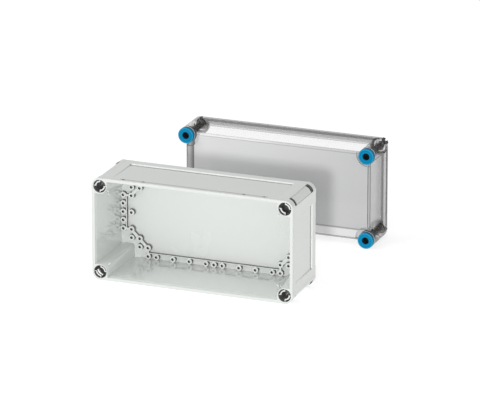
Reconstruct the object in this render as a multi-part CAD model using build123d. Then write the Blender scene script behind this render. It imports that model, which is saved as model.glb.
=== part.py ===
from build123d import *
import os
from math import cos, radians, sin

# An enclosure of two mouldings: a deep base and a clear lid, held by four quarter-turn fasteners.
# Each moulding is drawn in its panel frame: X across, Y up, Z out of its back plane towards the user.
# STAND turns the panel frame upright, so that the base opens towards -Y and +Z is up.
# The origin is the middle of the base's flat back face.

# Envelope
WIDTH = 300.0            # across, over the corner columns and the rim
HEIGHT = 150.0           # up, over the corner columns and the rim
BASE_DEPTH = 92.0        # back face to rim
LID_DEPTH = 51.0         # rim plane to the outside of the lid's plate
CORNER_R = 12.0          # radius of the corner columns, base and lid

# Base moulding
WALL_STEP = 0.5          # walls lie this far inside the columns' crests
RIM_WIDTH = 5.2          # wall just behind the rim, from the envelope inwards
RIM_BEVEL = 0.8          # the rim's inner edge is cut back by this much
RIM_BEVEL_DEPTH = 5.0
WALL_DRAFT = 3.0         # inner walls lean inwards by this much, from rim to floor
RIM_HEIGHT = 4.0         # rim band that runs round at full envelope size
FLOOR = 2.5              # thickness of the back
BORDER_HEIGHT = 1.4      # raised border of the floor, outside the ribs
INNER_R = 2.0            # inside corner radius
PANEL_DEPTH = 1.2        # knock-out panel, deepest near the back and fading towards the rim
PANEL_FROM_BACK = 15.0   # height of the panel's step above the back face
PANEL_END = 28.0         # panel stops this far from the envelope's corner

# Mounting domes, on a square grid that is centred on the back
PITCH = 12.5
DOME_R = 4.4             # at the top
DOME_FOOT_R = 5.1
DOME_ROUND = 0.5
DOME_HEIGHT = 6.5        # above the floor
DOME_PILOT_R = 2.0
DOME_EDGE = 3.0          # least distance from a dome's centre to the foot of the wall
RIB_WIDTH = 1.2          # straight ribs beside the outer domes, and webs from domes to a wall
RIB_FROM_DOMES = 4.9     # middle of a straight rib to the centres of the domes beside it
RIB_SUNK = 0.4           # ribs end this far below the domes' tops
LINK_WIDTH = 3.0         # ribs that tie two domes
DIAGONAL_WIDTH = 4.4     # diagonal rib that ties three domes
DIAGONAL_SHIFT = 0.7     # its middle lies this far towards the corner

# Corner columns of the base
COLUMN_BACK = 28.0       # size of the column's block at the back, from the envelope
COLUMN_FRONT = 22.8      # size of the column's block at the rim, from the envelope
POCKET_R = 9.5           # pocket that takes the fastener
POCKET_DEPTH = 28.0
PASSAGE_R = 6.5          # passage from the pocket to the back
SCREW_R = 2.8            # hole for the wall screw
SCREW_LAND = 8.0         # material under the wall screw's head
LEDGE_DEPTH = 2.0        # rim to the bayonet ledge
LEDGE_THICK = 3.0
LEDGE_EYE_R = 5.5        # central eye of the ledge
LEDGE_SLIT = 2.0         # slit between the ledge and the pocket's wall
LEDGE_SLIT_ANGLE = 40.0
WINDOW_LOW = 18.5        # front window, measured from the rim
WINDOW_HIGH = 11.0
WINDOW_ANGLE = 34.0      # half of the corner's arc that the windows and the recess take
REAR_WINDOW_LOW = 10.0   # rear window, measured from the back
REAR_WINDOW_HIGH = 17.5
REAR_WINDOW_ANGLE = 26.0
CREST_RECESS = 1.0       # depth of the recess between the two windows
FIN_REACH = 18.4         # fin at the inner corner of the column: pocket's centre to its edge
FIN_HEAD = 3.4           # length of the fin's raised head
FIN_WIDTH = 1.3
FIN_FROM_RIM = 4.8
FIN_SHOULDER = 5.0       # drop from the head to the rest of the fin
NOTCH_SIZE = (4.0, 3.4, 1.6)   # blind notches in the long sides, near the rim
NOTCH_FROM_RIM = 8.0
NOTCH_OFFSETS = (75.0, 105.0)

# Lid moulding
LID_WALL = 2.6
LID_PLATE = 3.0
FLANGE_HEIGHT = 7.0
FLANGE_WEB = 3.0
FLANGE_LAND = 6.8        # width of the flange's rear face
FLANGE_STEP = 0.8        # front half of the flange is this much smaller all round
BOX_INSET_REAR = 8.0     # envelope to the lid's box, at the flange
BOX_INSET_FRONT = 8.8    # envelope to the lid's box, at the plate
PLATE_CHAMFER = 3.0
GROOVE_DEPTH = 2.6
GROOVE_WIDTH = 3.2
GROOVE_INSET = 2.0       # envelope to the groove
GROOVE_R = 9.4           # the groove's inner side round each spindle
RECESS_DEPTH = 3.0       # round recess of the plate about each column
RECESS_R = 18.0

# Lid gasket
GASKET_CLEARANCE = 0.0   # the cord fills the groove's width
GASKET_PROUD = 0.6

# Fastener
HEAD_PROUD = 9.0         # head's face in front of the lid's plate
HEAD_THICK = 6.0         # head outside its column
HEAD_CHAMFER = 1.3
SLEEVE_R = 8.0
SLEEVE_LENGTH = 14.0
HUB_R = 5.2              # spindle inside the head
HUB_SUNK = 2.6           # spindle's end below the head's face
DRIVE_SLOT = (7.6, 2.0, 2.6)
SHAFT_R = 3.8
BORE_CLEARANCE = 0.5     # shaft in the lid's column
RUN_CLEARANCE = 0.3      # other faces that turn past each other
LUG_R = 9.1
LUG_HALF_ANGLE = 38.0
LUG_THICK = 4.6
LUG_SPLIT = 2.6          # split in the end of each lug
LUG_SPLIT_DEPTH = 3.2
LUG_GAP = 0.35           # lug behind the ledge
TIP_LENGTH = 1.6
SEAL_SECTION = 2.0
SEAL_GROOVE_WIDTH = 2.2
SEAL_FROM_FACE = 6.0     # sleeve's shoulder to the O-ring
CLIP_THICK = 1.2
CLIP_R = 6.6
CLIP_GROOVE = 0.7        # depth of the snap ring's groove in the shaft
CLIP_GAP_ANGLE = 70.0
CLIP_RECESS_DEPTH = 3.0

# Where the lid stands at rest, beside and behind the base on the same surface
LID_SIDE_OFFSET = 25.0
LID_REAR_PLANE = 227.0   # rim plane of the standing lid, behind the base's back face

# Derived sizes
POCKET_X = WIDTH / 2 - CORNER_R
POCKET_Y = HEIGHT / 2 - CORNER_R
INNER_X = WIDTH / 2 - RIM_WIDTH
INNER_Y = HEIGHT / 2 - RIM_WIDTH
FOOT_X = INNER_X - WALL_DRAFT
FOOT_Y = INNER_Y - WALL_DRAFT
DOME_TOP = FLOOR + DOME_HEIGHT
BORDER_TOP = FLOOR + BORDER_HEIGHT
LAST_COLUMN = int((FOOT_X - DOME_EDGE) / PITCH)
LAST_ROW = int((FOOT_Y - DOME_EDGE) / PITCH)
RIB_TOP = DOME_TOP - RIB_SUNK
RIB_X = LAST_COLUMN * PITCH - RIB_FROM_DOMES
RIB_Y = LAST_ROW * PITCH - RIB_FROM_DOMES
TIE_X = (LAST_COLUMN - 3) * PITCH    # where the ribs along the top and bottom end
TIE_Y = (LAST_ROW - 3) * PITCH       # where the ribs along the sides end
SLEEVE_BORE_R = SLEEVE_R + RUN_CLEARANCE
SHAFT_BORE_R = SHAFT_R + BORE_CLEARANCE
HEAD_R = CORNER_R        # the head is flush with the lid's column
HEAD_FACE = LID_DEPTH + HEAD_PROUD
HEAD_BACK = HEAD_FACE - HEAD_THICK
HEAD_SEAT = HEAD_BACK - RUN_CLEARANCE
RECESS_FLOOR = LID_DEPTH - RECESS_DEPTH
SLEEVE_END = HEAD_BACK - SLEEVE_LENGTH
LUG_FRONT = -(LEDGE_DEPTH + LEDGE_THICK + LUG_GAP)
STAND = Plane.XZ.location
LID_PLACE = Pos(LID_SIDE_OFFSET, LID_REAR_PLANE, 0) * STAND
CORNERS = {"top_right": (1, 1), "top_left": (-1, 1), "bottom_left": (-1, -1), "bottom_right": (1, -1)}
E = 0.5                  # cutters run past a face by this much


def slab(width, height, low, high, radius=0.0):
    """Plate on the middle, from low to high, with round corners if a radius is given."""
    outline = RectangleRounded(width, height, radius) if radius else Rectangle(width, height)
    return Pos(0, 0, low) * extrude(outline, high - low)


def rod(radius, low, high, x=0.0, y=0.0):
    """Round bar along Z, from low to high."""
    return Pos(x, y, low) * Cylinder(radius, high - low, align=(Align.CENTER, Align.CENTER, Align.MIN))


def block(x0, x1, y0, y1, z0, z1):
    """Box between two opposite corners."""
    return Pos((x0 + x1) / 2, (y0 + y1) / 2, (z0 + z1) / 2) * Box(abs(x1 - x0), abs(y1 - y0), abs(z1 - z0))


def tapered(width0, height0, z0, width1, height1, z1):
    """Box that tapers from one rectangle to another."""
    return loft([Pos(0, 0, z0) * Rectangle(width0, height0), Pos(0, 0, z1) * Rectangle(width1, height1)])


def sector(radius, half_angle, direction):
    """Sector of a disc about the origin, in the panel's plane."""
    steps = (direction - half_angle, direction, direction + half_angle)
    first, middle, last = [(radius * cos(radians(a)), radius * sin(radians(a))) for a in steps]
    return make_face([Line((0, 0), first), ThreePointArc(first, middle, last), Line(last, (0, 0))])


def in_corners(shape):
    """A shape of the top right corner, repeated by mirrors in all four corners."""
    right = [shape, mirror(shape, Plane.XZ)]
    return right + [mirror(s, Plane.YZ) for s in right]


def column_section(size, radius):
    """Section of a corner column's block: a square on the envelope's corner, rounded inside."""
    half = (size - WALL_STEP) / 2
    square = Pos(WIDTH / 2 - WALL_STEP - half, HEIGHT / 2 - WALL_STEP - half) * Rectangle(2 * half, 2 * half)
    square = fillet(square.vertices().sort_by(lambda v: v.X + v.Y)[0], radius)
    return fillet(square.vertices().sort_by(lambda v: v.X + v.Y)[-1], CORNER_R - WALL_STEP)


def column_block():
    """Corner column inside the base, wider at the back than at the rim."""
    back = column_section(COLUMN_BACK, INNER_R)
    front = Pos(0, 0, BASE_DEPTH) * column_section(COLUMN_FRONT, CORNER_R - WALL_STEP)
    return loft([back, front])


def cavity():
    """Inside of the base: walls that lean inwards towards the floor, with a bevel at the rim."""
    lean = WALL_DRAFT / (BASE_DEPTH - FLOOR)
    mouth_x, mouth_y = INNER_X + lean * E, INNER_Y + lean * E
    body = tapered(2 * FOOT_X, 2 * FOOT_Y, FLOOR, 2 * mouth_x, 2 * mouth_y, BASE_DEPTH + E)
    low, slope = BASE_DEPTH - RIM_BEVEL_DEPTH, RIM_BEVEL / RIM_BEVEL_DEPTH
    start_x, start_y = INNER_X - lean * RIM_BEVEL_DEPTH, INNER_Y - lean * RIM_BEVEL_DEPTH
    rise = RIM_BEVEL + lean * RIM_BEVEL_DEPTH + slope * E
    end_x, end_y = start_x + rise, start_y + rise
    return body + tapered(2 * start_x, 2 * start_y, low, 2 * end_x, 2 * end_y, BASE_DEPTH + E)


def field():
    """Top right quarter of the middle of the floor, inside the ribs."""
    outline = Polyline((-E, -E), (RIB_X, -E), (RIB_X, TIE_Y), (TIE_X + 2 * PITCH, TIE_Y),
                       (TIE_X, TIE_Y + 2 * PITCH), (TIE_X, RIB_Y), (-E, RIB_Y), close=True)
    return Pos(0, 0, FLOOR - 2 * E) * extrude(make_face(outline), BORDER_HEIGHT + 3 * E)


def dome_places():
    """Grid places, as column and row, of the domes in the top right quarter."""
    places = [(LAST_COLUMN, row) for row in range(LAST_ROW - 2)]
    places += [(LAST_COLUMN - 1, row) for row in (0, LAST_ROW - 3, LAST_ROW - 2)]
    places += [(LAST_COLUMN - 2, row) for row in (LAST_ROW - 2, LAST_ROW - 1)]
    places += [(LAST_COLUMN - 3, row) for row in (LAST_ROW - 1, LAST_ROW)]
    return places + [(column, LAST_ROW) for column in [0] + list(range(1, LAST_COLUMN - 3, 2))]


def dome(x, y):
    """One mounting dome: a slender cone with a rounded top."""
    cone = Cone(DOME_FOOT_R, DOME_R, DOME_HEIGHT + E, align=(Align.CENTER, Align.CENTER, Align.MIN))
    return Pos(x, y, FLOOR - E) * fillet(cone.edges().group_by(Axis.Z)[-1], DOME_ROUND)


def ribs():
    """Ribs of the top right quarter: beside the outer domes, between domes, and to the walls."""
    half, link = RIB_WIDTH / 2, LINK_WIDTH / 2
    low = FLOOR - E
    pieces = [block(RIB_X - half, RIB_X + half, -E, TIE_Y, low, RIB_TOP),
              block(-E, TIE_X, RIB_Y - half, RIB_Y + half, low, RIB_TOP),
              block(TIE_X + 2 * PITCH, LAST_COLUMN * PITCH, TIE_Y - link, TIE_Y + link, low, RIB_TOP),
              block(TIE_X - link, TIE_X + link, TIE_Y + 2 * PITCH, LAST_ROW * PITCH, low, RIB_TOP)]
    diagonal = Box(2 * PITCH * 2 ** 0.5, DIAGONAL_WIDTH, RIB_TOP - low)
    turned = Rot(0, 0, -45) * Pos(0, DIAGONAL_SHIFT, (low + RIB_TOP) / 2) * diagonal
    pieces.append(Pos(TIE_X + PITCH, TIE_Y + PITCH) * turned)
    for column, row in dome_places():
        x, y = column * PITCH, row * PITCH
        if column == LAST_COLUMN:
            pieces.append(block(x, INNER_X, y - half, y + half, low, RIB_TOP))
        if row == LAST_ROW:
            pieces.append(block(x - half, x + half, y, INNER_Y, low, RIB_TOP))
    return pieces


def bayonet_ledge():
    """Ledge across a pocket that the fastener's lugs turn behind."""
    low, high = BASE_DEPTH - LEDGE_DEPTH - LEDGE_THICK, BASE_DEPTH - LEDGE_DEPTH
    ledge = Pos(POCKET_X, POCKET_Y, low) * extrude(Circle(POCKET_R + E), high - low)
    cuts = [rod(LEDGE_EYE_R, low - E, high + E, POCKET_X, POCKET_Y)]
    for direction in (135, -45):
        gap = sector(POCKET_R + 2 * E, LUG_HALF_ANGLE + 4, direction)
        cuts.append(Pos(POCKET_X, POCKET_Y, low - E) * extrude(gap, high - low + 2 * E))
    for direction in (45, -135):
        ring = sector(POCKET_R - 0.2, LEDGE_SLIT_ANGLE, direction) - Circle(POCKET_R - 0.2 - LEDGE_SLIT)
        cuts.append(Pos(POCKET_X, POCKET_Y, low - E) * extrude(ring, high - low + 2 * E))
    return ledge - cuts


def crest_cut(low, high, inner_r, half_angle):
    """Cutter that opens a corner column from outside, over an arc about its outward diagonal."""
    arc = sector(2 * CORNER_R, half_angle, 45)
    arc = arc - Circle(inner_r) if inner_r else arc
    return Pos(POCKET_X, POCKET_Y, low) * extrude(arc, high - low)


def column_fin():
    """Fin on the inner corner of a column, with a raised head at its edge."""
    top = BASE_DEPTH - FIN_FROM_RIM
    shape = Polyline((-POCKET_R, 0), (-FIN_REACH, 0), (-FIN_REACH, top), (FIN_HEAD - FIN_REACH, top),
                     (FIN_HEAD - FIN_REACH, top - FIN_SHOULDER), (-POCKET_R, top - FIN_SHOULDER), close=True)
    blade = extrude(Plane.XZ * make_face(shape), FIN_WIDTH / 2, both=True)
    return Pos(POCKET_X, POCKET_Y, 0) * Rot(0, 0, 45) * blade


def panel_cut(along, half_length, outside, inner_end):
    """Wedge that sinks a knock-out panel into one side: deep at the back, fading at the rim."""
    wedge = Polyline((outside + E, PANEL_FROM_BACK), (outside - PANEL_DEPTH, PANEL_FROM_BACK),
                     (outside, inner_end), (outside + E, inner_end), close=True)
    plane = Plane.XZ if along == "y" else Plane.YZ
    return extrude(plane * make_face(wedge), half_length, both=True)


def base_shell():
    """Base moulding in its panel frame."""
    walls = slab(WIDTH - 2 * WALL_STEP, HEIGHT - 2 * WALL_STEP, 0, BASE_DEPTH, CORNER_R - WALL_STEP)
    rim = slab(WIDTH, HEIGHT, BASE_DEPTH - RIM_HEIGHT, BASE_DEPTH, CORNER_R)
    crests = in_corners(rod(CORNER_R, 0, BASE_DEPTH, POCKET_X, POCKET_Y))
    outer = walls + rim + crests
    outer = chamfer(outer.faces().sort_by(Axis.Z)[0].outer_wire().edges(), 0.8)
    side_end = HEIGHT / 2 - PANEL_END
    long_end = WIDTH / 2 - PANEL_END
    panel_top = BASE_DEPTH - RIM_HEIGHT
    side_panel = panel_cut("y", side_end, WIDTH / 2 - WALL_STEP, panel_top)
    long_panel = panel_cut("x", long_end, HEIGHT / 2 - WALL_STEP, panel_top)
    outer -= [side_panel, mirror(side_panel, Plane.YZ), long_panel, mirror(long_panel, Plane.XZ)]

    border = slab(2 * INNER_X, 2 * INNER_Y, FLOOR - E, BORDER_TOP) - in_corners(field())
    inside = [border] + in_corners(column_block())
    for rib in ribs():
        inside += in_corners(rib)
    pilots = []
    for column, row in dome_places():
        for sx in (1, -1) if column else (1,):
            for sy in (1, -1) if row else (1,):
                x, y = sx * column * PITCH, sy * row * PITCH
                inside.append(dome(x, y))
                pilots.append(rod(DOME_PILOT_R, FLOOR, DOME_TOP + E, x, y))
    shell = outer - cavity() + inside

    pocket = rod(POCKET_R, BASE_DEPTH - POCKET_DEPTH, BASE_DEPTH + E, POCKET_X, POCKET_Y)
    passage = rod(PASSAGE_R, SCREW_LAND, BASE_DEPTH, POCKET_X, POCKET_Y)
    screw = rod(SCREW_R, -E, SCREW_LAND + E, POCKET_X, POCKET_Y)
    windows = [crest_cut(BASE_DEPTH - WINDOW_LOW, BASE_DEPTH - WINDOW_HIGH, 0, WINDOW_ANGLE),
               crest_cut(REAR_WINDOW_LOW, REAR_WINDOW_HIGH, 0, REAR_WINDOW_ANGLE),
               crest_cut(REAR_WINDOW_LOW, BASE_DEPTH - WINDOW_LOW + E, CORNER_R - CREST_RECESS, WINDOW_ANGLE)]
    cuts = pilots
    for piece in [pocket, passage, screw] + windows:
        cuts += in_corners(piece)
    for x in NOTCH_OFFSETS:
        notch = Box(NOTCH_SIZE[0], 2 * NOTCH_SIZE[2], NOTCH_SIZE[1])
        cuts += in_corners(Pos(x, HEIGHT / 2, BASE_DEPTH - NOTCH_FROM_RIM) * notch)
    return shell - cuts + in_corners(column_fin()) + in_corners(bayonet_ledge())


def seal_band(inset, corner_r, low, high):
    """Solid inside the sealing line: a plate with a round bite for each corner column."""
    band = slab(WIDTH - 2 * inset, HEIGHT - 2 * inset, low, high)
    bites = in_corners(rod(corner_r, low - E, high + E, POCKET_X, POCKET_Y))
    corners = in_corners(block(POCKET_X, WIDTH, POCKET_Y, HEIGHT, low - E, high + E))
    return band - bites - corners


def seal_ring(low, high, clearance=0.0):
    """Closed ring that follows the rim and passes inside each fastener."""
    outer = seal_band(GROOVE_INSET + clearance, GROOVE_R + clearance, low, high)
    inset = GROOVE_INSET + GROOVE_WIDTH - clearance
    return outer - seal_band(inset, GROOVE_R + GROOVE_WIDTH - clearance, low - E, high + E)


def lid_outer():
    """Outside of the lid: flange, box and corner columns."""
    half_flange = FLANGE_HEIGHT / 2
    flange = slab(WIDTH, HEIGHT, 0, half_flange, CORNER_R)
    step_width, step_height = WIDTH - 2 * FLANGE_STEP, HEIGHT - 2 * FLANGE_STEP
    step = slab(step_width, step_height, half_flange, FLANGE_HEIGHT, CORNER_R - FLANGE_STEP)
    box = tapered(WIDTH - 2 * BOX_INSET_REAR, HEIGHT - 2 * BOX_INSET_REAR, FLANGE_HEIGHT - FLANGE_WEB,
                  WIDTH - 2 * BOX_INSET_FRONT, HEIGHT - 2 * BOX_INSET_FRONT, LID_DEPTH)
    box = chamfer(box.faces().sort_by(Axis.Z)[-1].edges(), PLATE_CHAMFER)
    recess = in_corners(rod(RECESS_R, RECESS_FLOOR, LID_DEPTH + E, POCKET_X, POCKET_Y))
    columns = in_corners(rod(CORNER_R, 0, HEAD_SEAT, POCKET_X, POCKET_Y))
    return flange + step + (box - recess) + columns


def lid_hollow():
    """Inside of the lid, clear of the columns."""
    web_low = FLANGE_HEIGHT - FLANGE_WEB
    rear = slab(WIDTH - 2 * FLANGE_LAND, HEIGHT - 2 * FLANGE_LAND, -E, web_low, INNER_R)
    rear -= in_corners(rod(GROOVE_R + GROOVE_WIDTH + 1.6, -2 * E, web_low + E, POCKET_X, POCKET_Y))
    inset_rear, inset_front = BOX_INSET_REAR + LID_WALL, BOX_INSET_FRONT + LID_WALL
    box = tapered(WIDTH - 2 * inset_rear, HEIGHT - 2 * inset_rear, web_low - 1,
                  WIDTH - 2 * inset_front, HEIGHT - 2 * inset_front, LID_DEPTH - LID_PLATE)
    box -= in_corners(rod(CORNER_R, -E, LID_DEPTH, POCKET_X, POCKET_Y))
    box -= in_corners(rod(RECESS_R + LID_WALL, RECESS_FLOOR - LID_PLATE, LID_DEPTH, POCKET_X, POCKET_Y))
    return [rear, box]


def lid_shell():
    """Clear lid moulding in its panel frame, with the rim plane at zero."""
    cuts = lid_hollow() + [seal_ring(-E, GROOVE_DEPTH)]
    for bore in (rod(SLEEVE_BORE_R, SLEEVE_END - 1, HEAD_FACE, POCKET_X, POCKET_Y),
                 rod(SHAFT_BORE_R, -E, SLEEVE_END, POCKET_X, POCKET_Y),
                 rod(CLIP_R + RUN_CLEARANCE, -E, CLIP_RECESS_DEPTH, POCKET_X, POCKET_Y)):
        cuts += in_corners(bore)
    return lid_outer() - cuts


def lid_gasket():
    """Sealing cord in the lid's groove."""
    return seal_ring(-GASKET_PROUD, GROOVE_DEPTH, GASKET_CLEARANCE)


def fastener_head():
    """Blue head: chamfered ring with a sleeve that enters the lid's column."""
    ring = rod(HEAD_R, HEAD_BACK, HEAD_FACE)
    ring = chamfer(ring.edges().group_by(Axis.Z)[-1], HEAD_CHAMFER)
    sleeve = rod(SLEEVE_R, SLEEVE_END, HEAD_BACK + E)
    groove_mid = HEAD_BACK - SEAL_FROM_FACE
    groove = rod(SLEEVE_R + E, groove_mid - SEAL_GROOVE_WIDTH / 2, groove_mid + SEAL_GROOVE_WIDTH / 2)
    groove -= rod(SLEEVE_R - SEAL_SECTION, groove_mid - SEAL_GROOVE_WIDTH, groove_mid + SEAL_GROOVE_WIDTH)
    head = ring + sleeve - groove - rod(HUB_R, SLEEVE_END - E, HEAD_FACE + E)
    mouth = head.edges().filter_by(GeomType.CIRCLE).group_by(Axis.Z)[-1].sort_by(SortBy.RADIUS)[0]
    return chamfer(mouth, 0.5)


def lug_pair(direction):
    """Two opposite sectors that lock behind the base's ledge, each split at its end."""
    split = Pos(LUG_R - LUG_SPLIT_DEPTH / 2 + E / 2, 0) * Rectangle(LUG_SPLIT_DEPTH + E, LUG_SPLIT)
    face = sector(LUG_R, LUG_HALF_ANGLE, 0) - split
    place = Pos(0, 0, LUG_FRONT - LUG_THICK)
    return [place * Rot(0, 0, direction + turn) * extrude(face, LUG_THICK) for turn in (0, 180)]


def fastener_spindle(direction):
    """Black spindle: hub with a drive slot, shaft with the clip's groove, and two lugs."""
    hub = rod(HUB_R, SLEEVE_END, HEAD_FACE - HUB_SUNK)
    slot = Box(DRIVE_SLOT[0], DRIVE_SLOT[1], 2 * DRIVE_SLOT[2])
    hub -= Pos(0, 0, HEAD_FACE - HUB_SUNK) * Rot(0, 0, direction) * slot
    tip = LUG_FRONT - LUG_THICK - TIP_LENGTH
    shaft = rod(SHAFT_R, tip, SLEEVE_END)
    shaft = chamfer(shaft.edges().group_by(Axis.Z)[0], 1.0)
    clip_mid = CLIP_RECESS_DEPTH / 2
    groove = rod(SHAFT_R + E, clip_mid - CLIP_THICK / 2, clip_mid + CLIP_THICK / 2)
    groove -= rod(SHAFT_R - CLIP_GROOVE, clip_mid - CLIP_THICK, clip_mid + CLIP_THICK)
    return hub + shaft + lug_pair(direction) - groove


def fastener_seal():
    """O-ring on the head's sleeve."""
    middle = HEAD_BACK - SEAL_FROM_FACE
    return Pos(0, 0, middle) * Torus(SLEEVE_R - SEAL_SECTION / 2, SEAL_SECTION / 2)


def fastener_clip(direction):
    """Open snap ring in the shaft's groove."""
    ring = Circle(CLIP_R) - Circle(SHAFT_R - CLIP_GROOVE) - sector(2 * CLIP_R, CLIP_GAP_ANGLE / 2, direction)
    return Pos(0, 0, CLIP_RECESS_DEPTH / 2 - CLIP_THICK / 2) * extrude(ring, CLIP_THICK)


def fasteners():
    """The four fasteners in the lid's panel frame, turned so that their lugs point at the corners."""
    nodes = {}
    for name, (sx, sy) in CORNERS.items():
        direction = 45 if sx * sy > 0 else 135
        place = Pos(sx * POCKET_X, sy * POCKET_Y, 0)
        nodes["fastener_head_" + name] = place * fastener_head()
        nodes["fastener_spindle_" + name] = place * fastener_spindle(direction)
        nodes["fastener_seal_" + name] = place * fastener_seal()
        nodes["fastener_clip_" + name] = place * fastener_clip(direction + 90)
    return nodes


def main():
    os.makedirs("parts", exist_ok=True)
    nodes = {"base_shell": STAND * base_shell()}
    lid_nodes = {"lid_shell": lid_shell(), "lid_gasket": lid_gasket(), **fasteners()}
    nodes.update({name: LID_PLACE * shape for name, shape in lid_nodes.items()})
    for name, shape in nodes.items():
        export_step(shape, "parts/" + name + ".step")


main()
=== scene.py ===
"""Studio scene of an electrical enclosure: a grey base and its clear lid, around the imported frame."""
from __future__ import annotations

import logging
import math
from dataclasses import dataclass, field
from enum import Enum
from typing import Any, Sequence

import bmesh
import bpy
import numpy as np
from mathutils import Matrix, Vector


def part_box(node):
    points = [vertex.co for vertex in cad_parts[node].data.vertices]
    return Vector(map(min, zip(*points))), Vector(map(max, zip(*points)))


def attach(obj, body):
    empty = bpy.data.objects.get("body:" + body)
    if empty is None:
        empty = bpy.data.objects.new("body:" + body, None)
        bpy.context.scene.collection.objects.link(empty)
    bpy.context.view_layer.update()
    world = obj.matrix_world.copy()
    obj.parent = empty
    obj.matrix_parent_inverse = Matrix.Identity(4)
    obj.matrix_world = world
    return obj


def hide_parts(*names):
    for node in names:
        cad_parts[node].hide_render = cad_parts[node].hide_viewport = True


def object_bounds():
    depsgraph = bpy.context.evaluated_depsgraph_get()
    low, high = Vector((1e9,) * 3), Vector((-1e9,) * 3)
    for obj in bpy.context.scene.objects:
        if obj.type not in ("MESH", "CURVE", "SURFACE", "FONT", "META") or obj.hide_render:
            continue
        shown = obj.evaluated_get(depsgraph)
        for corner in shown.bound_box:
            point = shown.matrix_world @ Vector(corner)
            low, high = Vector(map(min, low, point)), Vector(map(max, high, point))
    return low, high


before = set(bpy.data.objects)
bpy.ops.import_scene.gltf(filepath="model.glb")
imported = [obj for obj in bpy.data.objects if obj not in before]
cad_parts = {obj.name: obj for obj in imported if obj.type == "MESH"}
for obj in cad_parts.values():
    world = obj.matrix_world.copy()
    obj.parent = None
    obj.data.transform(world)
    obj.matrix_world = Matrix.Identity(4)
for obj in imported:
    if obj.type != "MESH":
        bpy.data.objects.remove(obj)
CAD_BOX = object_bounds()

LOG = logging.getLogger("enclosure")
MM = 0.001
COLUMN_X = 0.138          # axes of the corner columns, from the middle of the base or the lid
COLUMN_Z = 0.063
LID_MIDDLE_X = 0.025
WHITE = (1.0, 1.0, 1.0, 1.0)
Colour = tuple[float, float, float]
Span = tuple[float, float]


class Corner(Enum):
    """The four corners, by what the frame's node names end with."""

    TOP_RIGHT = "top_right"
    TOP_LEFT = "top_left"
    BOTTOM_LEFT = "bottom_left"
    BOTTOM_RIGHT = "bottom_right"


# Shader maths


class Value:
    """A shader value: Python operators on it add Math nodes."""

    def __init__(self, shader: Shader, socket: bpy.types.NodeSocket) -> None:
        """Wraps an output socket.

        Args:
            shader: The material that owns the socket.
            socket: The output socket to wrap.
        """
        self.shader = shader
        self.socket = socket

    def _math(self, operation: str, *values: Any) -> Value:
        """Adds one Math node.

        Args:
            operation: The node's operation.
            values: Its inputs, wrapped sockets or numbers.

        Returns:
            The node's result.
        """
        inputs = dict(enumerate(values))
        return self.shader.node("ShaderNodeMath", {"operation": operation}, inputs)["Value"]

    def __add__(self, other: Any) -> Value:
        """Sum."""
        return self._math("ADD", self, other)

    __radd__ = __add__

    def __mul__(self, other: Any) -> Value:
        """Product."""
        return self._math("MULTIPLY", self, other)

    __rmul__ = __mul__

    def __sub__(self, other: Any) -> Value:
        """Difference."""
        return self._math("SUBTRACT", self, other)

    def __rsub__(self, other: Any) -> Value:
        """Difference, the other way round."""
        return self._math("SUBTRACT", other, self)

    def __abs__(self) -> Value:
        """Size without its sign."""
        return self._math("ABSOLUTE", self)

    def most(self, other: Any) -> Value:
        """The larger of two values."""
        return self._math("MAXIMUM", self, other)

    def between(self, low: float, high: float, soft: float) -> Value:
        """Window from low to high.

        Args:
            low: Where the window opens.
            high: Where it closes.
            soft: Width of its soft edges.

        Returns:
            1 inside the window, 0 outside.
        """
        return self.ramp(low - soft / 2, low + soft / 2) * self.ramp(high + soft / 2, high - soft / 2)

    def length(self, other: Value) -> Value:
        """Length of the plane vector that two values make."""
        return self._math("SQRT", self * self + other * other)

    def from_grid(self, pitch: float) -> Value:
        """Distance to the nearest multiple of a pitch.

        Args:
            pitch: The grid's pitch.

        Returns:
            The signed distance.
        """
        return self - self._math("ROUND", self * (1 / pitch)) * pitch

    def ramp(self, low: float, high: float) -> Value:
        """Smooth step.

        Args:
            low: Where the result leaves 0.
            high: Where it reaches 1. It may be under low, which turns the step round.

        Returns:
            A value from 0 to 1.
        """
        settings = {"interpolation_type": "SMOOTHSTEP"}
        if low < high:
            inputs = {0: self, 1: low, 2: high, 3: 0.0, 4: 1.0}
        else:
            inputs = {0: self, 1: high, 2: low, 3: 1.0, 4: 0.0}
        return self.shader.node("ShaderNodeMapRange", settings, inputs)["Result"]


@dataclass(frozen=True)
class Spot:
    """A point of a surface: its place in metres, and how far it is from the nearest column's axis."""

    x: Value
    y: Value
    z: Value
    radius: Value


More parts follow.
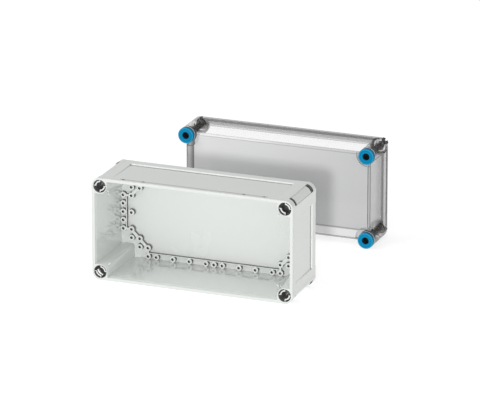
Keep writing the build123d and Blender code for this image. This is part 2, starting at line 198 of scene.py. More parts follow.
class Shader:
    """A node material with one Principled surface."""

    def __init__(self, name: str) -> None:
        """Makes the material.

        Args:
            name: The material's name.
        """
        self.material = bpy.data.materials.new(name)
        self.material.use_nodes = True
        self.tree = self.material.node_tree
        self.surface = self.tree.nodes["Principled BSDF"]

    def node(self, kind: str, settings: dict[str, Any], inputs: dict[Any, Any]) -> dict[str, Value]:
        """Adds any node.

        Args:
            kind: The node's type.
            settings: Its properties, set first.
            inputs: Values or wrapped sockets for its input sockets, by name or number.

        Returns:
            Its outputs, wrapped, by name.
        """
        made = self.tree.nodes.new(kind)
        for key, value in settings.items():
            setattr(made, key, value)
        for key, value in inputs.items():
            self.feed(made.inputs[key], value)
        return {out.name: Value(self, out) for out in made.outputs if out.enabled}

    def feed(self, socket: bpy.types.NodeSocket, value: Any) -> None:
        """Links a wrapped socket, or sets a number or colour.

        Args:
            socket: The input to fill.
            value: A wrapped socket, a number or a tuple.
        """
        if isinstance(value, Value):
            self.tree.links.new(value.socket, socket)
        else:
            socket.default_value = value

    def set(self, **inputs: Any) -> None:
        """Fills sockets of the surface; underscores stand for spaces in their names.

        Args:
            inputs: Values or wrapped sockets by the socket's name.
        """
        for key, value in inputs.items():
            self.feed(self.surface.inputs[key.replace("_", " ")], value)

    def place(self) -> Value:
        """Object coordinates."""
        return self.node("ShaderNodeTexCoord", {}, {})["Object"]

    def spot(self, middle_x: float = 0.0) -> Spot:
        """Splits Object coordinates.

        Args:
            middle_x: The piece's middle along X, which becomes 0.

        Returns:
            The point, by its coordinates.
        """
        parts = self.node("ShaderNodeSeparateXYZ", {}, {0: self.place()})
        x, y, z = parts["X"] - middle_x, parts["Y"], parts["Z"]
        return Spot(x, y, z, (abs(x) - COLUMN_X).length(abs(z) - COLUMN_Z))

    def noise(self, scale: float, detail: float = 3.0,
              stretch: tuple[float, float, float] = (1, 1, 1)) -> Value:
        """Noise on Object coordinates.

        Args:
            scale: Repeats per metre.
            detail: Octaves.
            stretch: Scale along each axis.

        Returns:
            A value about 0.5.
        """
        moved = self.node("ShaderNodeMapping", {}, {"Vector": self.place(), "Scale": stretch})["Vector"]
        inputs = {"Vector": moved, "Scale": scale, "Detail": detail}
        return self.node("ShaderNodeTexNoise", {}, inputs)["Fac"]

    def tint(self, mask: Value, first: Any, second: Any) -> Value:
        """Colour between two.

        Args:
            mask: 0 for the first colour, 1 for the second.
            first: Colour where the mask is 0.
            second: Colour where the mask is 1.

        Returns:
            The mixed colour.
        """
        first, second = (side if isinstance(side, Value) else (*side, 1.0) for side in (first, second))
        return self.node("ShaderNodeMix", {"data_type": "RGBA"}, {0: mask, 6: first, 7: second})["Result"]

    def relief(self, height: Value, depth: float, edge: float) -> None:
        """Feeds a bump and softly rounded edges to the surface's normal.

        Args:
            height: The bump's height, from 0 to 1.
            depth: Its real depth in metres.
            edge: Radius of the rounding that the edges show, in metres.
        """
        rounded = self.node("ShaderNodeBevel", {"samples": 6}, {"Radius": edge})["Normal"]
        inputs = {"Height": height, "Distance": depth, "Strength": 1.0, "Normal": rounded}
        self.set(Normal=self.node("ShaderNodeBump", {}, inputs)["Normal"])


# Finishes


@dataclass(frozen=True)
class GreyMoulding:
    """Light grey moulded plastic: polished walls, fine grain, painted shade in its holes, hollows and
    recesses and on the rim's front, and painted highlights behind the panels' steps.

    Places are in metres from the middle of the base's back face, and Y is negative towards the opening.
    """

    light: Colour = (0.655, 0.675, 0.655)
    dark: Colour = (0.648, 0.668, 0.648)
    # From here: painted shade for the pilot holes, for the sides of the domes, ribs and border, and in front
    # of the panels' steps; a painted highlight for the crests; painted shade for the hollows, the front of
    # the rim and the pockets.
    deep: Colour = (0.030, 0.032, 0.031)
    crease_shade: Colour = (0.10, 0.104, 0.10)
    step_shade: Colour = (0.32, 0.33, 0.325)
    bright: Colour = (0.84, 0.86, 0.84)
    hollow_shade: Colour = (0.10, 0.105, 0.10)
    rim: Colour = (0.58, 0.60, 0.58)
    pocket_shade: Colour = (0.16, 0.165, 0.16)
    soft: float = 0.0004                  # width of the soft edges of every mask
    pocket_r: float = 0.0098
    ledge_y: float = -0.0897              # front of the ledges
    lip_y: float = -0.0914                # front of the pockets' walls
    window_r: float = 0.0120
    front_window_y: Span = (-0.0812, -0.0732)
    rear_window_y: Span = (-0.0177, -0.0097)
    pitch: float = 0.0125
    pilot_r: float = 0.0021
    pilot_y: Span = (-0.0088, -0.0043)
    rib_side_y: Span = (-0.0083, -0.0043)
    border_side_y: Span = (-0.0036, -0.0028)
    foot_x: float = 0.1415                # feet of the inner walls
    foot_z: float = 0.0665
    wall_lean: float = 0.0040             # how far the inner walls lean
    block_x: float = 0.1195               # inner sides of the column blocks
    block_z: float = 0.0445
    panel_x: float = 0.1480               # just inside the outer walls
    panel_z: float = 0.0730
    panel_end_x: float = 0.1220
    panel_end_z: float = 0.0470
    # Painted shade in front of the panels' steps, and a painted highlight on the crest behind them:
    shade_y: Span = (-0.0200, -0.0151)
    crest_y: Span = (-0.0151, -0.0124)
    notch_z: Span = (0.0726, 0.0744)
    notch_y: Span = (-0.0858, -0.0822)
    notch_end_x: float = 0.110
    # The front of the rim is painted darker, a painted shade that tones down the key light there:
    rim_shade_y: Span = (-0.0906, -0.0912) # front of the rim
    polish_y: Span = (-0.090, -0.088)     # where the polished walls begin
    cloud_scale: float = 14.0
    cloud_tint: Span = (0.2, 0.8)
    cloud_roughness: float = 0.03
    roughness: float = 0.255
    wall_polish: float = 0.13
    wall_coat: float = 0.9
    coat_roughness: float = 0.07
    grain_scale: float = 1800.0
    grain_depth: float = 0.00002
    edge: float = 0.0006

    def pockets(self, at: Spot) -> Value:
        """Mask of the painted shade in the corner pockets, apart from the front of their ledges.

        Args:
            at: The point of the surface.

        Returns:
            1 inside the pockets.
        """
        behind = at.y.ramp(self.ledge_y, self.ledge_y + self.soft / 2)
        wall = at.radius.ramp(self.pocket_r - 2 * self.soft, self.pocket_r - self.soft)
        wall = wall * at.y.ramp(self.lip_y, self.lip_y + self.soft)
        return at.radius.ramp(self.pocket_r, self.pocket_r - self.soft / 2) * behind.most(wall)

    def pilots(self, at: Spot) -> Value:
        """Mask of the painted shade in the pilot holes, above the border of the floor.

        Args:
            at: The point of the surface.

        Returns:
            1 inside the holes.
        """
        radius = at.x.from_grid(self.pitch).length(at.z.from_grid(self.pitch))
        hole = radius.ramp(self.pilot_r + self.soft, self.pilot_r)
        return hole * at.y.between(*self.pilot_y, self.soft) * self.inside(at)

    def inside(self, at: Spot) -> Value:
        """Mask of what stands inside the feet of the walls."""
        near = abs(at.x).ramp(self.foot_x + self.soft, self.foot_x)
        return near * abs(at.z).ramp(self.foot_z + self.soft, self.foot_z)

    def creases(self, at: Spot) -> Value:
        """Mask of the painted shade on the sides of the domes, ribs and border, away from the walls and the
        corner columns.

        Args:
            at: The point of the surface.

        Returns:
            1 on the sides.
        """
        block = abs(at.x).ramp(self.block_x, self.block_x + self.soft)
        block = block * abs(at.z).ramp(self.block_z, self.block_z + self.soft)
        high = at.y.between(*self.rib_side_y, self.soft / 2)
        low = at.y.between(*self.border_side_y, self.soft / 2)
        return high.most(low) * self.inside(at) * (1 - block)

    def panels(self, at: Spot) -> tuple[Value, Value]:
        """Masks of the painted shade and the painted highlight at the knock-out panels' steps.

        Args:
            at: The point of the surface.

        Returns:
            The painted shade in front of the steps and the painted highlight on the crest behind them, each
            0 to 1.
        """
        long = abs(at.x).ramp(self.panel_end_x + self.soft, self.panel_end_x)
        short = abs(at.z).ramp(self.panel_end_z + self.soft, self.panel_end_z)
        long = long * (abs(at.z) - self.panel_z).ramp(0.0, self.soft)
        short = short * (abs(at.x) - self.panel_x).ramp(0.0, self.soft)
        face = long.most(short)
        return (face * at.y.between(*self.shade_y, self.soft),
                face * at.y.between(*self.crest_y, self.soft / 2))

    def notches(self, at: Spot) -> Value:
        """Mask of the painted shade in the blind notches near the rim.

        Args:
            at: The point of the surface.

        Returns:
            1 inside the notches.
        """
        blind = abs(at.z).between(*self.notch_z, self.soft)
        blind = blind * abs(at.x).ramp(self.notch_end_x + self.soft, self.notch_end_x)
        return blind * at.y.between(*self.notch_y, self.soft)

    def windows(self, at: Spot) -> Value:
        """Mask of the painted shade in the space behind the windows of the corner columns.

        Args:
            at: The point of the surface.

        Returns:
            1 behind the windows.
        """
        front = at.y.between(*self.front_window_y, self.soft / 2)
        rear = at.y.between(*self.rear_window_y, self.soft / 2)
        outward = (abs(at.x) - COLUMN_X + abs(at.z) - COLUMN_Z).ramp(0.0, self.soft)
        return at.radius.ramp(self.window_r, self.window_r - self.soft) * front.most(rear) * outward

    def walls(self, at: Spot) -> Value:
        """Mask of the polished inner walls, behind the rim.

        Args:
            at: The point of the surface.

        Returns:
            1 on the walls.
        """
        short = abs(at.x).between(self.foot_x, self.foot_x + self.wall_lean, self.soft)
        long = abs(at.z).between(self.foot_z, self.foot_z + self.wall_lean, self.soft)
        return short.most(long) * at.y.ramp(*self.polish_y)

    def make(self) -> bpy.types.Material:
        """Builds the material.

        Returns:
            The finished material.
        """
        shader = Shader("grey_moulding")
        at = shader.spot()
        cloud = shader.noise(self.cloud_scale)
        shade, crest = self.panels(at)
        colour = shader.tint(cloud.ramp(*self.cloud_tint), self.dark, self.light)
        # painted shade on the sides of the domes, ribs and border
        colour = shader.tint(self.creases(at), colour, self.crease_shade)
        # painted shade in front of the panels' steps
        colour = shader.tint(shade, colour, self.step_shade)
        # painted highlight on the crests behind the steps
        colour = shader.tint(crest, colour, self.bright)
        # painted shade in the blind notches and behind the windows
        colour = shader.tint(self.notches(at).most(self.windows(at)), colour, self.hollow_shade)
        # painted shade in the corner pockets
        colour = shader.tint(self.pockets(at), colour, self.pocket_shade)
        # painted shade in the pilot holes
        colour = shader.tint(self.pilots(at), colour, self.deep)
        # painted shade on the front of the rim
        colour = shader.tint(at.y.ramp(*self.rim_shade_y), colour, self.rim)
        walls = self.walls(at)
        roughness = self.roughness + self.cloud_roughness * cloud - self.wall_polish * walls
        shader.set(Base_Color=colour, Roughness=roughness, Coat_Weight=self.wall_coat * walls,
                   Coat_Roughness=self.coat_roughness)
        shader.relief(shader.noise(self.grain_scale, detail=2.0), self.grain_depth, self.edge)
        return shader.material


@dataclass(frozen=True)
class ClearMoulding:
    """Clear polished plastic: a hazy plate in painted light and shade with a painted shadow, painted dark
    lines along its edges, painted highlights, and corner columns painted dark as shade.

    Places are in metres from the lid's middle across and up, and from the base's back face in depth.
    """

    # The first two greys are the plate's painted light and painted shade, the third its painted shadow; then
    # come painted dark edge lines, painted highlights, the walls painted as seen through the plate, and the
    # columns painted dark.
    pale: Colour = (0.62, 0.62, 0.625)
    plate_shade_grey: Colour = (0.44, 0.44, 0.445)
    shadow_grey: Colour = (0.22, 0.22, 0.222)
    wall_grey: Colour = (0.40, 0.402, 0.402)
    line_grey: Colour = (0.07, 0.07, 0.07)
    bright: Colour = (0.86, 0.86, 0.86)
    under_grey: Colour = (0.62, 0.62, 0.62)
    side_grey: Colour = (0.40, 0.40, 0.40)
    side_dark: Colour = (0.12, 0.12, 0.12)
    line_edge: Colour = (0.28, 0.28, 0.28)
    # The columns are painted dark and mottled, a painted shade in place of the dark that refraction shows in
    # them:
    column_grey: Colour = (0.045, 0.043, 0.04)
    plate_alpha: float = 0.94
    roof_alpha: float = 0.15
    wall_alpha: float = 0.44
    line_alpha: float = 0.72
    gap_alpha: float = 0.60
    column_alpha: float = 0.20
    streak_alpha: float = 0.45
    collar_alpha: float = 0.85
    grazing_alpha: float = 0.50
    roof_grazing: float = 0.85
    facing_blend: float = 0.3
    soft: float = 0.0004                  # width of the soft edges of every mask
    line: float = 0.0009                  # width of a line
    plate_y: float = 0.1793
    plate_x: float = 0.1382               # edges of the plate's flat face
    plate_z: float = 0.0632
    bevel: float = 0.0030
    top_bevel: float = 0.001
    roof_z: float = 0.0610                # just under the top wall
    flange_y: float = 0.2198
    rim_y: float = 0.2270
    step_share: float = 0.3               # strength of the line at the flange's front
    side_x: float = 0.1488
    side_z: float = 0.0738
    gap_x: float = 0.1463                 # the flange's pale short sides
    gap_y: float = 0.2220
    foot_x: float = 0.1420
    foot_z: float = 0.0670
    foot_width: float = 0.0040
    foot_share: float = 0.75              # strength of the foot's grey
    top_share: float = 0.75               # how far the bevel's lines fade at the top
    above_share: float = 0.70             # how far the lines fade on the top wall
    column_r: float = 0.0124
    collar_y: float = 0.1744
    seen_left: float = -0.1285            # where the walls show through the plate
    seen_low: float = -0.0490
    seen_line: Span = (-0.0030, -0.0016)
    seen_fade: float = 0.008
    # Painted light and shade across the plate, lighter to the upper left:
    fade_slope: float = 0.6
    fade: Span = (-0.20, 0.14)
    # A painted shadow of the base on the plate:
    shadow_share: float = 0.4
    shadow_x: Span = (0.105, 0.035)
    shadow_z: Span = (0.055, -0.010)
    wave_scale: float = 22.0
    wave_depth: float = 0.0001
    streak_scale: float = 260.0
    streak_stretch: tuple[float, float, float] = (1.0, 0.3, 1.0)
    streak_range: Span = (0.42, 0.66)
    roughness: float = 0.05
    wave_roughness: float = 0.03
    refraction: float = 1.58
    edge: float = 0.0005

    def seen(self, shader: Shader, at: Spot, colour: Value) -> Value:
        """Paints what shows through the plate: the left wall, in painted shade darker towards the flange,
        and the lower wall, with a painted dark line along its edge.

        Args:
            shader: The material.
            at: The point of the surface.
            colour: The plate's colour.

        Returns:
            The new colour.
        """
        left, low = at.x - self.seen_left, at.z - self.seen_low
        # painted dark line along the lower wall's edge
        under = shader.tint(low.ramp(*self.seen_line), self.under_grey, self.line_edge)
        # painted shade on the left wall, darker towards the flange
        side = shader.tint(left.ramp(-self.seen_fade, 0.0), self.side_grey, self.side_dark)
        colour = shader.tint(low.ramp(self.soft, 0.0), colour, under)
        return shader.tint(left.ramp(self.soft, 0.0), colour, side)

    def plate(self, at: Spot) -> tuple[Value, Value, Value]:
        """Masks of the plate, of the painted dark lines at its bevel and of the painted shade on the bevel
        between them.

        Args:
            at: The point of the surface.

        Returns:
            Plate, lines and bevel, each 0 to 1.
        """
        out = (abs(at.x) - self.plate_x).most(abs(at.z) - self.plate_z)
        front = at.y.ramp(self.plate_y + self.soft, self.plate_y)
        first = out.between(-self.line / 2, self.line / 2, self.soft)
        second = out.between(self.bevel - self.line, self.bevel + self.line / 2, self.soft)
        bevel = out.between(self.line / 2, self.bevel - self.line, self.soft)
        return front, front * first.most(second), front * bevel

    def flange(self, at: Spot) -> tuple[Value, Value, Value]:
        """Masks of the flange's painted dark edge lines, of its painted grey foot beside the box and of its
        pale short sides.

        Args:
            at: The point of the surface.

        Returns:
            Lines, foot and gap, each 0 to 1.
        """
        rim = at.y.ramp(self.flange_y - self.soft, self.flange_y)
        step = at.y.between(self.flange_y - self.soft, self.flange_y + self.line, self.soft)
        back = at.y.between(self.rim_y - 3 * self.line, self.rim_y + self.line, self.soft)
        outer = (abs(at.x) - self.side_x).most(abs(at.z) - self.side_z).ramp(0.0, self.soft)
        gap = rim * (abs(at.x) - self.gap_x).ramp(0.0, self.soft)
        gap = gap * at.y.ramp(self.gap_y + self.soft, self.gap_y)
        edge = (abs(at.x) - self.side_x).ramp(0.0, self.soft)
        edge = edge * at.y.ramp(self.gap_y, self.gap_y + self.soft)
        lines = ((self.step_share * step).most(back) * outer * (1 - gap)).most(edge)
        out = (abs(at.x) - self.foot_x).most(abs(at.z) - self.foot_z)
        return lines, rim * out.between(0.0, self.foot_width, self.soft), gap

    def make(self) -> bpy.types.Material:
        """Builds the material.

        Returns:
            The finished material.
        """
        shader = Shader("clear_moulding")
        at = shader.spot(LID_MIDDLE_X)
        plate, plate_lines, bevel = self.plate(at)
        flange_lines, foot, gap = self.flange(at)
        column = at.radius.ramp(self.column_r + self.soft, self.column_r)
        collar = column * at.y.ramp(self.collar_y, self.collar_y - self.soft)
        top = at.z.ramp(self.plate_z - self.top_bevel, self.plate_z)
        left = at.x.ramp(-self.plate_x, -self.plate_x - self.soft)
        above = at.z.ramp(self.foot_z, self.foot_z + self.soft) * (1 - plate)
        roof = at.z.ramp(self.roof_z, self.roof_z + self.soft) * (1 - plate)
        roof = roof * at.y.ramp(self.flange_y, self.flange_y - self.soft)
        # Painted dark lines along the plate's bevel, the flange's edges and foot, and the plate's left edge:
        lines = (plate_lines * (1 - self.top_share * top)).most(flange_lines)
        lines = lines.most(self.foot_share * foot) * (1 - self.above_share * above)
        lines = lines.most(plate * left)
        wave = shader.noise(self.wave_scale, detail=1.0)
        streak = shader.noise(self.streak_scale, stretch=self.streak_stretch).ramp(*self.streak_range)
        # painted light and shade across the plate, lighter to the upper left
        fade = (at.z * self.fade_slope - at.x).ramp(*self.fade)
        # painted shadow of the base on the plate
        shadow_patch = self.shadow_share * at.x.ramp(*self.shadow_x) * at.z.ramp(*self.shadow_z)

        # the plate's painted light and shade
        colour = shader.tint(fade, self.plate_shade_grey, self.pale)
        # painted shadow of the base, then the painted view of the walls behind the plate
        colour = self.seen(shader, at, shader.tint(shadow_patch, colour, self.shadow_grey))
        colour = shader.tint(plate, self.wall_grey, colour)
        # painted highlight on the top wall; the flange's short sides pale
        colour = shader.tint(roof.most(gap), colour, self.bright)
        # painted shade on the plate's bevel
        colour = shader.tint(bevel * (1 - top), colour, self.side_grey)
        # painted dark edge lines
        colour = shader.tint(lines, colour, self.line_grey)
        # columns painted dark, a painted shade
        colour = shader.tint(column, colour, self.column_grey)
        # painted highlight on the columns' collars
        colour = shader.tint(collar, colour, self.bright)

        alpha = self.wall_alpha + plate * (self.plate_alpha - self.wall_alpha)
        alpha = alpha + roof * (self.roof_alpha - self.wall_alpha)
        alpha = alpha + gap * (self.gap_alpha - alpha)
        alpha = alpha + lines * (self.line_alpha - alpha)
        alpha = alpha + column * (self.column_alpha - alpha + self.streak_alpha * streak)
        alpha = alpha + collar * (self.collar_alpha - alpha)
        facing = shader.node("ShaderNodeLayerWeight", {}, {"Blend": self.facing_blend})["Facing"]
        graze = facing * (1 - self.roof_grazing * roof)
        alpha = alpha + graze * (1.0 - alpha) * self.grazing_alpha
        shader.set(Base_Color=colour, Roughness=self.roughness + self.wave_roughness * wave,
                   Alpha=alpha, IOR=self.refraction)
        shader.relief(wave, self.wave_depth, self.edge)
        return shader.material


@dataclass(frozen=True)
class PlainMoulding:
    """A coloured moulded, rubber or metal surface with fine grain and slight wear."""

    name: str
    colour: Colour
    worn: Colour
    roughness: float
    specular: float = 0.5
    metallic: float = 0.0
    cloud_scale: float = 120.0
    cloud_tint: Span = (0.4, 0.75)
    cloud_roughness: float = 0.12
    grain_scale: float = 2200.0
    grain_depth: float = 0.00008
    edge: float = 0.0003

    def make(self) -> bpy.types.Material:
        """Builds the material.

        Returns:
            The finished material.
        """
        shader = Shader(self.name)
        cloud = shader.noise(self.cloud_scale)
        shader.set(Base_Color=shader.tint(cloud.ramp(*self.cloud_tint), self.colour, self.worn),
                   Roughness=self.roughness + self.cloud_roughness * (cloud - 0.5),
                   Metallic=self.metallic, Specular_IOR_Level=self.specular)
        shader.relief(shader.noise(self.grain_scale, detail=2.0), self.grain_depth, self.edge)
        return shader.material


@dataclass(frozen=True)
class HeadBlue:
    """Blue moulded plastic of the heads: a painted highlight ring near the edge of the face, and painted
    shade on the side.
    """

    face: Colour = (0.0, 0.19, 0.36)
    # A painted highlight ring near the face's edge, and painted shade on the side:
    ring: Colour = (0.02, 0.26, 0.44)
    side: Colour = (0.0, 0.09, 0.18)
    ring_r: Span = (0.0099, 0.0113)
    side_shade_y: Span = (0.1684, 0.1689)
    soft: float = 0.0005
    cloud_scale: float = 120.0
    roughness: float = 0.28
    cloud_roughness: float = 0.06
    specular: float = 0.1
    grain_scale: float = 2200.0
    grain_depth: float = 0.00005
    edge: float = 0.0003

    def make(self) -> bpy.types.Material:
        """Builds the material.

        Returns:
            The finished material.
        """
        shader = Shader("head_blue")
        at = shader.spot(LID_MIDDLE_X)
        # painted highlight ring near the face's edge
        colour = shader.tint(at.radius.between(*self.ring_r, self.soft), self.face, self.ring)
        # painted shade on the side
        colour = shader.tint(at.y.ramp(*self.side_shade_y), colour, self.side)
        roughness = self.roughness + self.cloud_roughness * shader.noise(self.cloud_scale)
        shader.set(Base_Color=colour, Roughness=roughness, Specular_IOR_Level=self.specular)
        shader.relief(shader.noise(self.grain_scale, detail=2.0), self.grain_depth, self.edge)
        return shader.material


# Meshes


def grid_mesh(name: str, points: np.ndarray, closed: bool = False, sharp: float = 35.0) -> bpy.types.Object:
    """Object from a grid of points.

    Neighbouring grid points make quads. On a closed grid the last row and the last column join the first.

    Args:
        name: The object's name.
        points: Rows by columns by 3, in metres.
        closed: The grid closes both ways, as on a ring.
        sharp: Edges that turn by more than this many degrees stay sharp.

    Returns:
        The new object, at the origin.
    """
    rows, columns = points.shape[:2]
    index = np.arange(rows * columns).reshape(rows, columns)
    if closed:
        index = np.pad(index, ((0, 1), (0, 1)), mode="wrap")
    corners = [index[:-1, :-1], index[:-1, 1:], index[1:, 1:], index[1:, :-1]]
    mesh = bpy.data.meshes.new(name)
    mesh.from_pydata(points.reshape(-1, 3).tolist(), [], np.stack(corners, axis=-1).reshape(-1, 4).tolist())
    if closed:
        work = bmesh.new()
        work.from_mesh(mesh)
        bmesh.ops.recalc_face_normals(work, faces=work.faces)
        work.to_mesh(mesh)
        work.free()
    mesh.shade_smooth()
    mesh.set_sharp_from_angle(angle=math.radians(sharp))
    made = bpy.data.objects.new(name, mesh)
    bpy.context.scene.collection.objects.link(made)
    return made


def lathe(name: str, profile: np.ndarray, centre: Sequence[float], segments: int = 96) -> bpy.types.Object:
    """Ring turned about an axis along Y.

    A profile point of radius r and depth d goes to centre + (r sin t, d, r cos t), t once round.

    Args:
        name: The object's name.
        profile: Closed outline, points by (radius, depth), in metres.
        centre: The point on the axis where the depth is 0, in metres.
        segments: Steps round.

    Returns:
        The closed ring.
    """
    turn = np.linspace(0.0, 2 * np.pi, segments, endpoint=False)[:, None]
    radius, depth = profile[:, 0][None], profile[:, 1][None]
    points = np.stack([centre[0] + radius * np.sin(turn), centre[1] + depth + 0 * turn,
                       centre[2] + radius * np.cos(turn)], axis=-1)
    return grid_mesh(name, points, closed=True)


def wear(piece: bpy.types.Object, material: bpy.types.Material) -> None:
    """Gives a piece one material and reports it.

    Args:
        piece: The object to dress.
        material: Its only material.
    """
    piece.data.materials.clear()
    piece.data.materials.append(material)
    LOG.info("%s wears %s", piece.name, material.name)


# The enclosure


@dataclass
class Base:
    """The grey base, carried over from the frame."""

    node: str = "base_shell"
    finish: GreyMoulding = field(default_factory=GreyMoulding)

    def build(self) -> None:
        """Dresses the base."""
        wear(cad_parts[self.node], self.finish.make())


@dataclass
class Lid:
    """The clear lid and its sealing cord, carried over from the frame."""

    shell: str = "lid_shell"
    cord: str = "lid_gasket"
    finish: ClearMoulding = field(default_factory=ClearMoulding)
    cord_finish: PlainMoulding = PlainMoulding("sealing_cord", (0.48, 0.49, 0.49), (0.54, 0.55, 0.55), 0.8)

    def build(self) -> None:
        """Dresses the lid and its cord."""
        wear(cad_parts[self.shell], self.finish.make())
        wear(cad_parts[self.cord], self.cord_finish.make())


@dataclass
class Head:
    """Sizes of a fastener's head, a turned ring with a sleeve, in metres from its face."""

    outer_r: float = 11.99 * MM
    edge_r: float = 1.5 * MM
    ring_r: float = 9.3 * MM
    ring_depth: float = 0.5 * MM
    ring_width: float = 0.9 * MM
    mouth: float = 0.8 * MM
    bore_r: float = 5.2 * MM
    sleeve_r: float = 8.0 * MM
    thick: float = 6.0 * MM
    sleeve_end: float = 20.0 * MM
    groove_y: float = 12.0 * MM
    groove_half: float = 1.1 * MM
    groove_r: float = 6.0 * MM
    arc_steps: int = 9

    def arc(self, radius: float, y: float, size: float, start: float, end: float) -> np.ndarray:
        """Round corner of the outline: points at size from its centre, from one angle to another.

        Args:
            radius: Distance of the corner's centre from the axis.
            y: Depth of the corner's centre.
            size: The corner's radius.
            start: First angle in degrees, 0 outwards and 90 backwards.
            end: Last angle.

        Returns:
            Points by (radius, y).
        """
        turn = np.radians(np.linspace(start, end, self.arc_steps))
        return np.stack([radius + size * np.cos(turn), y + size * np.sin(turn)], axis=-1)

    def profile(self) -> np.ndarray:
        """Closed outline of the ring and its sleeve: straight lines between round corners.

        Returns:
            Points by (radius, y), from the mouth of the bore outwards and back along the sleeve.
        """
        lip = self.arc(self.bore_r + self.mouth, self.mouth, self.mouth, -180, -90)
        half = self.ring_width / 2
        dip = [(self.ring_r - half, 0.0), (self.ring_r, self.ring_depth), (self.ring_r + half, 0.0)]
        edge = self.arc(self.outer_r - self.edge_r, self.edge_r, self.edge_r, -90, 0)
        front, rear = self.groove_y - self.groove_half, self.groove_y + self.groove_half
        back = [(self.outer_r, self.thick), (self.sleeve_r, self.thick),
                (self.sleeve_r, front), (self.groove_r, front), (self.groove_r, rear), (self.sleeve_r, rear),
                (self.sleeve_r, self.sleeve_end), (self.bore_r, self.sleeve_end)]
        return np.vstack([lip, dip, edge, back])


@dataclass
class Fasteners:
    """The four quarter-turn fasteners: turned heads, and the frame's spindles, seals and clips."""

    head: Head = field(default_factory=Head)
    blue: HeadBlue = field(default_factory=HeadBlue)
    spindle: PlainMoulding = PlainMoulding("spindle_black", (0.002, 0.002, 0.002), (0.004, 0.004, 0.004),
                                           0.45, specular=0.12)
    seal: PlainMoulding = PlainMoulding("seal_rubber", (0.02, 0.02, 0.02), (0.03, 0.03, 0.03), 0.7)
    clip: PlainMoulding = PlainMoulding("clip_steel", (0.55, 0.55, 0.54), (0.6, 0.6, 0.6), 0.3, metallic=1.0)

    def heads(self, material: bpy.types.Material) -> None:
        """Turns the four heads and hides the plain ones of the frame.

        Args:
            material: The heads' finish.
        """
        for corner in Corner:
            node = f"fastener_head_{corner.value}"
            low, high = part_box(node)
            centre = ((low[0] + high[0]) / 2, low[1], (low[2] + high[2]) / 2)
            made = lathe(f"turned_head_{corner.value}", self.head.profile(), centre)
            wear(made, material)
            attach(made, f"fastener_{corner.value}")
            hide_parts(node)

    def build(self) -> None:
        """Builds the heads and dresses every piece of each fastener."""
        self.heads(self.blue.make())
        for kind, finish in {"spindle": self.spindle, "seal": self.seal, "clip": self.clip}.items():
            material = finish.make()
            for corner in Corner:
                wear(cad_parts[f"fastener_{kind}_{corner.value}"], material)


# Studio


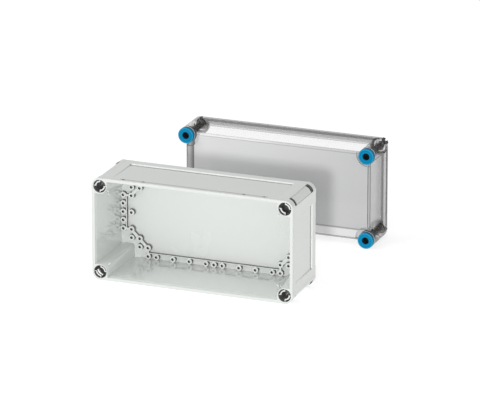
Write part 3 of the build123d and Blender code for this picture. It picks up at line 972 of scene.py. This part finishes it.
@dataclass
class Studio:
    """Pale floor, soft lights and the camera: angles in degrees, lengths in metres, powers in watts."""

    yaw: float = 21.29
    pitch: float = 18.57
    distance: float = 6.5
    target: tuple[float, float, float] = (0.0398, -0.009, 0.0239)
    lens: float = 348.7
    sensor: float = 36.0
    clip: Span = (0.05, 100.0)
    sky: float = 0.60
    light_distance: float = 3.0
    key_yaw: float = 15.5
    key_pitch: float = 13.3
    key_size: float = 0.3
    key_power: float = 43.0
    fill_yaw: float = -60.0
    fill_pitch: float = 45.0
    fill_size: float = 2.2
    fill_power: float = 33.0
    floor_half: float = 6.0
    floor_lines: int = 13
    floor_colour: tuple[float, float, float, float] = (0.36, 0.36, 0.36, 1.0)
    floor_roughness: float = 0.9
    floor_specular: float = 0.1
    floor_glow: float = 0.74

    @staticmethod
    def direction(yaw: float, pitch: float) -> Vector:
        """Direction from the object's front to a place in the studio.

        Args:
            yaw: Degrees to the right of the object's front.
            pitch: Degrees above the floor.

        Returns:
            The unit vector (sin yaw cos pitch, -cos yaw cos pitch, sin pitch).
        """
        turn, lift = math.radians(yaw), math.radians(pitch)
        return Vector((math.sin(turn) * math.cos(lift), -math.cos(turn) * math.cos(lift), math.sin(lift)))

    @staticmethod
    def stand(name: str, data: bpy.types.ID, place: Vector, back: Vector) -> bpy.types.Object:
        """Puts a light or the camera in its place.

        Args:
            name: The object's name.
            data: The light or the camera.
            place: Where it stands.
            back: The direction behind it, which is its own Z.

        Returns:
            The new object.
        """
        made = bpy.data.objects.new(name, data)
        made.location = place
        made.rotation_mode = "QUATERNION"
        made.rotation_quaternion = back.to_track_quat("Z", "Y")
        bpy.context.scene.collection.objects.link(made)
        return made

    def floor(self) -> None:
        """Large pale floor at the object's lowest point."""
        side = np.linspace(-self.floor_half, self.floor_half, self.floor_lines)
        deep, across = np.meshgrid(side, side, indexing="ij")
        points = np.stack([across, deep, np.full_like(across, CAD_BOX[0].z)], axis=-1)
        made = grid_mesh("studio_floor", points)
        shader = Shader("floor_white")
        shader.set(Base_Color=self.floor_colour, Roughness=self.floor_roughness,
                   Specular_IOR_Level=self.floor_specular, Emission_Color=WHITE,
                   Emission_Strength=self.floor_glow)
        wear(made, shader.material)

    def softbox(self, name: str, yaw: float, pitch: float, size: float, power: float) -> None:
        """Round soft light that faces the object.

        Args:
            name: The light's name.
            yaw: Degrees to the right of the object's front.
            pitch: Degrees above the floor.
            size: Diameter in metres.
            power: Power in watts.
        """
        lamp = bpy.data.lights.new(name, "AREA")
        lamp.shape = "DISK"
        lamp.size, lamp.energy = size, power
        place = self.light_distance * self.direction(yaw, pitch)
        self.stand(name, lamp, place, place)

    def lights(self) -> None:
        """World light, a key light and a large soft box on the left."""
        world = bpy.data.worlds.new("studio")
        bpy.context.scene.world = world
        world.use_nodes = True
        background = world.node_tree.nodes["Background"]
        background.inputs["Color"].default_value = WHITE
        background.inputs["Strength"].default_value = self.sky
        self.softbox("key_box", self.key_yaw, self.key_pitch, self.key_size, self.key_power)
        self.softbox("fill_box", self.fill_yaw, self.fill_pitch, self.fill_size, self.fill_power)

    def camera(self) -> None:
        """Camera at the photograph's angle."""
        data = bpy.data.cameras.new("camera")
        data.lens, data.sensor_width = self.lens, self.sensor
        data.clip_start, data.clip_end = self.clip
        back = self.direction(self.yaw, self.pitch)
        place = Vector(self.target) + back * self.distance
        bpy.context.scene.camera = self.stand("camera", data, place, back)

    def build(self) -> None:
        """Sets up the studio."""
        self.floor()
        self.lights()
        self.camera()
        bpy.context.scene.view_settings.view_transform = "Standard"
        LOG.info("studio ready")


def main() -> None:
    """Builds everything in order."""
    logging.basicConfig(level=logging.INFO)
    Base().build()
    Lid().build()
    Fasteners().build()
    Studio().build()


if __name__ == "__main__":
    main()
